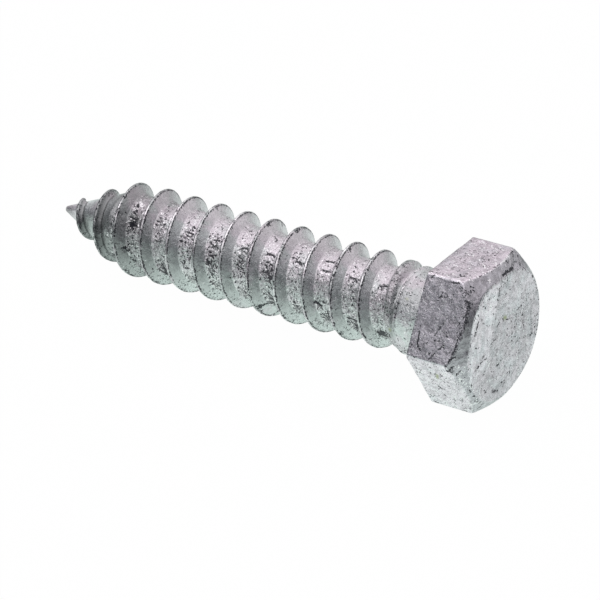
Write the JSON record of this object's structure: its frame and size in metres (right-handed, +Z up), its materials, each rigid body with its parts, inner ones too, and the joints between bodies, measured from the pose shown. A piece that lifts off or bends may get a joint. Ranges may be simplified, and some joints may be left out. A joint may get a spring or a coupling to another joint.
{
  "type": "lag screw",
  "caption": "Short hex-head lag screw with a coarse wood thread, gimlet point and rough hot-dip zinc coating, lying on its side.",
  "frame": {"origin": "centre of the bounding box's base, on the surface that the screw lies on", "axes": "+X runs along the screw from tip to head, level; the screw's own axis leans 3.85 degrees tip down from it in the XZ plane; +Z is up"},
  "size_m": [0.0458, 0.0142, 0.0128],
  "materials": {
    "galvanised_steel": "matt grey hot-dip zinc, lumpy in the thread, with bright worn crests and dark pits"
  },
  "bodies": {
    "root": {"lag_screw": "galvanised_steel"}
  },
  "joints": []
}
